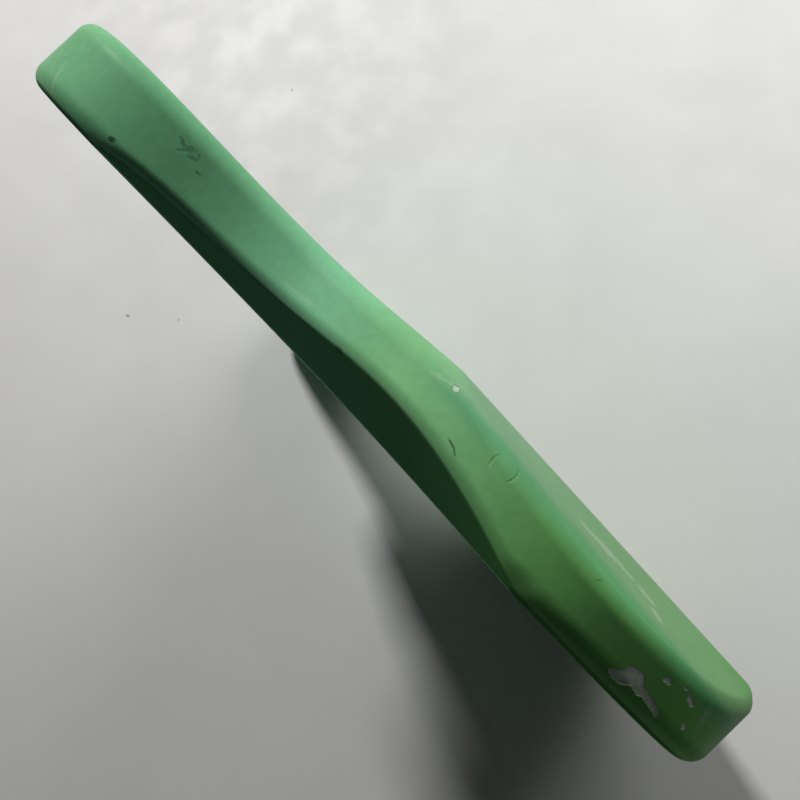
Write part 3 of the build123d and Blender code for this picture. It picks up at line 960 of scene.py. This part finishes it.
guard_pilots = [
    (352, 42), (318, 78), (262, 84), (206, 66), (146, 54), (330, -60), (316, -104),
    (256, -92), (214, -114), (152, -144), (84, -132),
]
jack_plate_reach = 29 * MM * math.sqrt(0.5)
front_pilots = [np.array(spot) * MM for spot in guard_pilots]
front_pilots += [jack_spot + jack_plate_reach, jack_spot - jack_plate_reach]
cover_x = (slot_x - 49 * MM + slot_x + 103 * MM) / 2
back_pilots = [(cover_x + x * 60 * MM, y * 44 * MM) for x in (-1, 0, 1) for y in (-1, 1)]
pilot_diameter, pilot_depth, pilot_lip = 2.4 * MM, 12 * MM, 3 * MM
pilot_holes = pilot_tree()
for face, spots in ((FRONT, front_pilots), (BACK, back_pilots)):
    height = face * (half_thickness + (pilot_lip - pilot_depth) / 2)
    points = [(x, y, height) for x, y in spots]
    point_mesh = bpy.data.meshes.new("pilots")
    point_mesh.from_pydata(standing(np.array(points)).tolist(), [], [])
    cutters.append(new_object("pilot_holes", grown_by(
        pilot_holes, new_object("pilots", point_mesh), Diameter=pilot_diameter,
        Depth=pilot_depth, Lip=pilot_lip, Finish=rout_wood)))

# ---------------------------------------------------------------------------------------
# Chips and dents: places where knocks broke the lacquer off down to the primer, and one
# ring pressed into the bout. Each is cut a fraction of a millimetre into the surface.
# ---------------------------------------------------------------------------------------
def on_bass_edge(x, through):
    """Point and normal of the bass edge above a place along and through the body."""
    place, _, face, _ = shell_tree.ray_cast(Vector((x, through, 1)), Vector((0, 0, -1)))
    return place, smooth_normal(place, face)


def chip(rim, depth, material):
    """A cutter for a flake: its rim in millimetres along and through the body."""
    rim = np.array(rim) * MM
    low, high = rim.min(0), rim.max(0)
    step = 1.2 * MM
    grid = np.array([
        (x, y) for x in np.arange(low[0], high[0], step) for y in np.arange(low[1], high[1], step)
    ] + [rim.mean(0)])
    grid = grid[inside(grid, rim)]
    if len(grid):
        gap = np.array([np.min(np.hypot(*(rim - p).T)) for p in grid])
        grid = grid[gap > 0.5 * MM]
    flat = np.concatenate([rim, grid])
    count = len(rim)
    edges = [(i, (i + 1) % count) for i in range(count)]
    faces, origin = delaunay_2d_cdt([Vector(p) for p in flat], edges, [], 1, 1e-7)[2:4]
    fill = [[origin[v][0] for v in face] for face in faces]
    top, bottom = [], []
    for i, (x, y) in enumerate(flat):
        place, normal = on_bass_edge(x, y)
        sunk = depth * (0.6 if i < count else 1.0)
        top.append(place + normal * 0.4 * MM)
        bottom.append(place - normal * sunk)
    total = len(flat)
    faces = [list(face) for face in fill] + [[v + total for v in face][::-1] for face in fill]
    faces += [(i, (i + 1) % count, total + (i + 1) % count, total + i) for i in range(count)]
    return cutter_object([tuple(p) for p in top + bottom], faces, material)


def jagged(rim, roughness, seed):
    """A rim with two more points on each side, moved a little at random."""
    random = np.random.default_rng(seed)
    rim = np.array(rim, float)
    ends = np.roll(rim, -1, axis=0)
    points = []
    for a, b in zip(rim, ends):
        for t in (0, 1 / 3, 2 / 3):
            points.append(a + (b - a) * t + random.uniform(-roughness, roughness, 2))
    return points


chips = [
    [(-172.5, 15.6), (-176, 12.6), (-177.5, 9.0), (-181.5, 7.6), (-184, 9.2), (-185, 11.0),
     (-188.5, 11.2), (-192, 12.2), (-196.5, 14.8), (-195.5, 16.0), (-191, 15.2), (-187.5, 14.2),
     (-185, 15.0), (-182, 14.2), (-179, 16.4), (-175, 17.0)],
    [(-187.2, 3.0), (-189.4, 2.2), (-191.2, 3.6), (-190.2, 5.0), (-188.0, 4.8)],
    [(-194.6, 0.4), (-196.2, 0.0), (-196.6, 1.4), (-195.2, 1.8)],
    [(-197.6, 1.6), (-200.2, 1.2), (-202.6, 2.8), (-201.6, 4.4), (-199.0, 3.4)],
    [(-204.0, 10.0), (-206.4, 9.8), (-207.0, 11.6), (-205.0, 12.2)],
    [(-66.6, -15.2), (-68.6, -15.8), (-70.2, -14.6), (-69.4, -13.2), (-67.2, -13.4)],
]
for index, rim in enumerate(chips):
    cutters.append(chip(jagged(rim, 0.28, index), 0.30 * MM, primer))


def ring_dent(x, through, radius, wire, depth, lean):
    """A cutter for a ring pressed into the surface on two opposite sides only."""
    points, faces = [], []
    around, section = 40, 10
    for i in range(around):
        angle = 2 * math.pi * i / around
        way = Vector((math.cos(angle), math.sin(angle), 0))
        place, normal = on_bass_edge(x + radius * way.x, through + radius * way.y)
        sunk = depth * (0.2 + 0.8 * math.cos(2 * (angle - lean)))
        centre = place + normal * (wire - sunk)
        side = (way - normal * way.dot(normal)).normalized()
        for j in range(section):
            turn = 2 * math.pi * j / section
            across, up = side * wire * math.cos(turn), normal * wire * math.sin(turn)
            points.append(tuple(centre + across + up))
            a, b = (i + 1) % around, (j + 1) % section
            faces.append((i * section + j, a * section + j, a * section + b, i * section + b))
    return cutter_object(points, faces, lacquer)


cutters.append(ring_dent(-103 * MM, -6 * MM, 5 * MM, 1.3 * MM, 0.34 * MM, 0.1))

body = new_object("body", body_mesh)
for cutter in cutters:
    cut = body.modifiers.new("cut", "BOOLEAN")
    cut.operation = "DIFFERENCE"
    cut.solver = "MANIFOLD"
    cut.material_mode = "TRANSFER"
    cut.object = cutter
cut_body = body.evaluated_get(bpy.context.evaluated_depsgraph_get())
cut_mesh = bpy.data.meshes.new_from_object(cut_body)
for cutter in cutters:
    bpy.data.objects.remove(cutter)
bpy.data.objects.remove(body)

# ---------------------------------------------------------------------------------------
# The three alder staves, glued edge to edge before the outline is sawn. Each takes the
# curve of the whole shell for its shading, so no joint shows through the lacquer.
# ---------------------------------------------------------------------------------------
stave_joint = 58 * MM
crease_angle = math.radians(35)


def shell_normal(point):
    """The whole shell's smooth normal at a point on it, or None away from it."""
    place, _, face, gap = shell_tree.find_nearest(point)
    return smooth_normal(place, face) if gap <= 0.02 * MM else None


def stave(name, low, high):
    """The part of the body between two heights over the centreline."""
    part = bmesh.new()
    part.from_mesh(cut_mesh)
    for height, keep in ((low, 1), (high, -1)):
        if abs(height) > body_half_width:
            continue
        geometry = part.verts[:] + part.edges[:] + part.faces[:]
        level = (0, 0, body_half_width + height)
        bmesh.ops.bisect_plane(
            part, geom=geometry, dist=1e-7, plane_co=level, plane_no=(0, 0, keep), clear_inner=True)
        rim = [e for e in part.edges if e.is_boundary]
        bmesh.ops.holes_fill(part, edges=rim)
    bmesh.ops.triangulate(part, faces=part.faces)
    mesh = bpy.data.meshes.new(name)
    part.to_mesh(mesh)
    part.free()
    for material in cut_mesh.materials:
        mesh.materials.append(material)
    mesh.shade_smooth()
    mesh.set_sharp_from_angle(angle=crease_angle)
    normals = [Vector(n.vector) for n in mesh.corner_normals]
    found = {}
    for face in mesh.polygons:
        if face.material_index != 0:
            continue
        for corner in face.loop_indices:
            vertex = mesh.loops[corner].vertex_index
            if vertex not in found:
                found[vertex] = shell_normal(mesh.vertices[vertex].co)
            smooth = found[vertex]
            if smooth is not None and smooth.dot(face.normal) > 0.7:
                normals[corner] = smooth
    mesh.normals_split_custom_set([tuple(n) for n in normals])
    return new_object(name, mesh)


stave_bands = {
    "bass_stave": (stave_joint, 1),
    "centre_stave": (-stave_joint, stave_joint),
    "treble_stave": (-1, -stave_joint),
}
for node, (low, high) in stave_bands.items():
    piece = stave(node + "_finished", low, high)
    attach(piece, "root")
    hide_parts(node)

# ---------------------------------------------------------------------------------------
# Locator dowels: maple pegs that held the blank to its template, glued into blind holes
# in the front and cut off just under the surface, then sprayed over thinly.
# ---------------------------------------------------------------------------------------
maple, tree, shader = finish("oversprayed_maple")
wood = placed(tree, grain_group, Pale=(0.70, 0.53, 0.33, 1), Dark=(0.52, 0.36, 0.20, 1), Spacing=0.0012)
dusting = spread(tree, cloud(tree, own_space(tree), 420.0, 4.0), 0.35, 0.65, 0.15, 0.8)
socket(tree, shader.inputs["Base Color"], tinted(tree, dusting, wood["Colour"], (0.27, 0.47, 0.30, 1)))
socket(tree, shader.inputs["Roughness"], spread(tree, dusting, 0.1, 0.8, 0.6, 0.4))
socket(tree, shader.inputs["Normal"], bumped(tree, wood["Pores"], 0.1 * MM, 0.8))


def turned(name, profile, centre, steps, material):
    """A closed piece turned about an axis through the thickness: (radius, depth) pairs."""
    points, faces = [], []
    rings = []
    for radius, depth in profile:
        if radius == 0:
            rings.append([len(points)])
            points.append((centre[0], depth, centre[1]))
            continue
        ring = []
        for i in range(steps):
            angle = 2 * math.pi * i / steps
            ring.append(len(points))
            x, z = radius * math.cos(angle), radius * math.sin(angle)
            points.append((centre[0] + x, depth, centre[1] + z))
        rings.append(ring)
    closed = profile[0][0] > 0 and profile[-1][0] > 0
    pairs = list(zip(rings, rings[1:] + rings[:1] if closed else rings[1:]))
    for first, second in pairs:
        for i in range(steps):
            j = (i + 1) % steps
            corners = [first[i % len(first)], first[j % len(first)],
                       second[j % len(second)], second[i % len(second)]]
            faces.append(list(dict.fromkeys(corners)))
    mesh = closed_mesh(name, points, faces)
    mesh.materials.append(material)
    mesh.shade_smooth()
    mesh.set_sharp_from_angle(angle=crease_angle)
    return new_object(name, mesh)


front_y = -half_thickness
for name, (x, y) in dowel_spots.items():
    centre = (butt_x + x, body_half_width + y)
    top = front_y + 0.3 * MM
    peg = turned(name + "_locator_dowel_finished", [
        (0, top), (3.9 * MM, top), (4.4 * MM, top + 0.08 * MM), (4.72 * MM, top + 0.4 * MM),
        (4.72 * MM, top + 11.6 * MM), (4.2 * MM, top + 12.4 * MM), (0, top + 12.4 * MM),
    ], centre, 48, maple)
    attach(peg, "root")
    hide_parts(name + "_locator_dowel")

# ---------------------------------------------------------------------------------------
# Bridge post bushings: nickel-plated steel sleeves, threaded inside and ribbed outside,
# pressed into the front so that their chamfered mouths are flush with it.
# ---------------------------------------------------------------------------------------
nickel, tree, shader = finish("dull_nickel", Metallic=1.0)
tarnish = placed(tree, mottle_group, Colour=(0.62, 0.60, 0.55, 1), Scale=380.0, Amount=0.45)
spots = spread(tree, cloud(tree, own_space(tree), 900.0, 4.0), 0.56, 0.68)
socket(tree, shader.inputs["Base Color"], tinted(tree, spots, tarnish["Colour"], (0.16, 0.10, 0.06, 1)))
rough = number(
    tree, "ADD", spread(tree, tarnish["Mask"], 0, 1, 0.28, 0.45),
    number(tree, "MULTIPLY", spots, 0.3))
socket(tree, shader.inputs["Roughness"], rough)
cloudy_bump(tree, shader, 1600.0, 0.03 * MM, 0.6)

thread_pitch = 1.0 * MM
thread_depth = 0.35 * MM
bushing_length = 19 * MM


def ribbing_tree():
    """Geometry Nodes that stand like ribs round a sleeve."""
    tree, sockets, given = repeating_tree("ribbing", [
        ("Ribs", "Int", 36), ("Radius", "Float", 0.0052), ("Rib Size", "Float", 0.0003),
        ("Length", "Float", 0.014)])
    ring = tree.nodes.new("GeometryNodeMeshCircle")
    tree.links.new(given["Ribs"], ring.inputs["Vertices"])
    tree.links.new(given["Radius"], ring.inputs["Radius"])
    rib = tree.nodes.new("GeometryNodeMeshCylinder")
    rib.inputs["Vertices"].default_value = 6
    tree.links.new(given["Rib Size"], rib.inputs["Radius"])
    tree.links.new(given["Length"], rib.inputs["Depth"])
    on_ring = tree.nodes.new("GeometryNodeInstanceOnPoints")
    tree.links.new(ring.outputs["Mesh"], on_ring.inputs["Points"])
    tree.links.new(rib.outputs["Mesh"], on_ring.inputs["Instance"])
    laid = tree.nodes.new("GeometryNodeTransform")
    laid.inputs["Rotation"].default_value = (math.pi / 2, 0, 0)
    laid.inputs["Translation"].default_value = (0, bushing_length / 2, 0)
    tree.links.new(on_ring.outputs["Instances"], laid.inputs["Geometry"])
    join = tree.nodes.new("GeometryNodeJoinGeometry")
    tree.links.new(laid.outputs["Geometry"], join.inputs["Geometry"])
    tree.links.new(given["Geometry"], join.inputs["Geometry"])
    end_tree(tree, join.outputs["Geometry"], given["Finish"])
    return tree, sockets


ribbing = ribbing_tree()
for side, y in (("bass", post_y), ("treble", -post_y)):
    bore = 3.97 * MM
    profile = [(4.6 * MM, 0), (5.2 * MM, 0.25 * MM), (5.2 * MM, bushing_length - 0.5 * MM),
               (4.9 * MM, bushing_length), (4.2 * MM, bushing_length)]
    turns = int(16 * MM / thread_pitch)
    for turn in range(turns, 0, -1):
        middle = turn * thread_pitch + 1 * MM
        profile.append((bore + thread_depth, middle + 0.35 * thread_pitch))
        profile.append((bore, middle))
        profile.append((bore + thread_depth, middle - 0.35 * thread_pitch))
    profile += [(bore + 0.5 * MM, 0.6 * MM), (4.5 * MM, 0.05 * MM)]
    sleeve = turned(side + "_sleeve", profile, (0, 0), 48, nickel)
    made = grown_by(
        ribbing, sleeve, Ribs=36, Radius=5.24 * MM, Rib_Size=0.3 * MM, Length=13 * MM, Finish=nickel)
    centre = Vector((butt_x + bridge_x, front_y, body_half_width + y))
    made.transform(Matrix.Translation(centre))
    bushing = new_object(side + "_bridge_bushing_finished", made)
    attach(bushing, "root")
    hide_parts(side + "_bridge_bushing")

# ---------------------------------------------------------------------------------------
# Ground lug: a tinned brass solder lug on the floor of the control cavity, held by a
# slotted pan-head screw. Both are stamped and turned stock parts.
# ---------------------------------------------------------------------------------------
tinned, tree, shader = finish("tarnished_tin", Metallic=1.0)
tarnish = placed(tree, mottle_group, Colour=(0.58, 0.54, 0.44, 1), Scale=500.0, Amount=0.5)
socket(tree, shader.inputs["Base Color"], tarnish["Colour"])
socket(tree, shader.inputs["Roughness"], spread(tree, tarnish["Mask"], 0, 1, 0.35, 0.55))
cloudy_bump(tree, shader, 1400.0, 0.04 * MM, 0.6)
for node, metal in (("ground_lug", tinned), ("ground_lug_screw", nickel)):
    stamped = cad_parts[node].data
    stamped.materials.clear()
    stamped.materials.append(metal)

# ---------------------------------------------------------------------------------------
# The table top that the body stands on. A small window beyond the neck end throws the
# shadow, and a bright wall in front fills it in, with a pale room all round.
# ---------------------------------------------------------------------------------------
table_mesh = bpy.data.meshes.new("table")
table_mesh.from_pydata([(-3, -3, 0), (3, -3, 0), (3, 3, 0), (-3, 3, 0)], [], [(0, 1, 2, 3)])
table = new_object("table", table_mesh)
table_paint, tree, shader = finish("table_paint")
colour = placed(tree, mottle_group, Colour=(0.80, 0.795, 0.79, 1), Scale=5.0, Amount=0.07)
colour = placed(tree, mottle_group, Colour=colour["Colour"], Scale=24.0, Amount=0.02)
specks = spread(tree, cloud(tree, own_space(tree), 55.0, 1.0), 0.80, 0.83, 0.0, 0.7)
socket(tree, shader.inputs["Base Color"], tinted(tree, specks, colour["Colour"], (0.12, 0.12, 0.12, 1)))
socket(tree, shader.inputs["Roughness"], spread(tree, colour["Mask"], 0.0, 1.0, 0.55, 0.7))
cloudy_bump(tree, shader, 14.0, 1 * MM, 0.05)
table_mesh.materials.append(table_paint)


def panel(name, place, aim, width, height, power, colour):
    """A soft rectangular light at a place, turned to a point."""
    light = bpy.data.lights.new(name, "AREA")
    light.shape = "RECTANGLE"
    light.size, light.size_y = width, height
    light.energy = power
    light.color = colour
    lamp = new_object(name, light)
    lamp.location = place
    lamp.rotation_euler = (Vector(aim) - Vector(place)).to_track_quat("-Z", "Y").to_euler()


panel("window", (2.0, -0.68, 1.60), (0, 0, 0.15), 0.30, 0.30, 49, (1.0, 0.995, 0.975))
panel("bright_wall", (0.05, -0.98, 0.60), (-0.08, -0.05, 0.1), 0.9, 0.6, 6.0, (1.0, 0.995, 0.96))

room = bpy.data.worlds.new("room")
room.use_nodes = True
room.node_tree.nodes["Background"].inputs["Color"].default_value = (0.88, 0.93, 1.0, 1)
room.node_tree.nodes["Background"].inputs["Strength"].default_value = 0.032
bpy.context.scene.world = room
bpy.context.scene.view_settings.view_transform = "Standard"
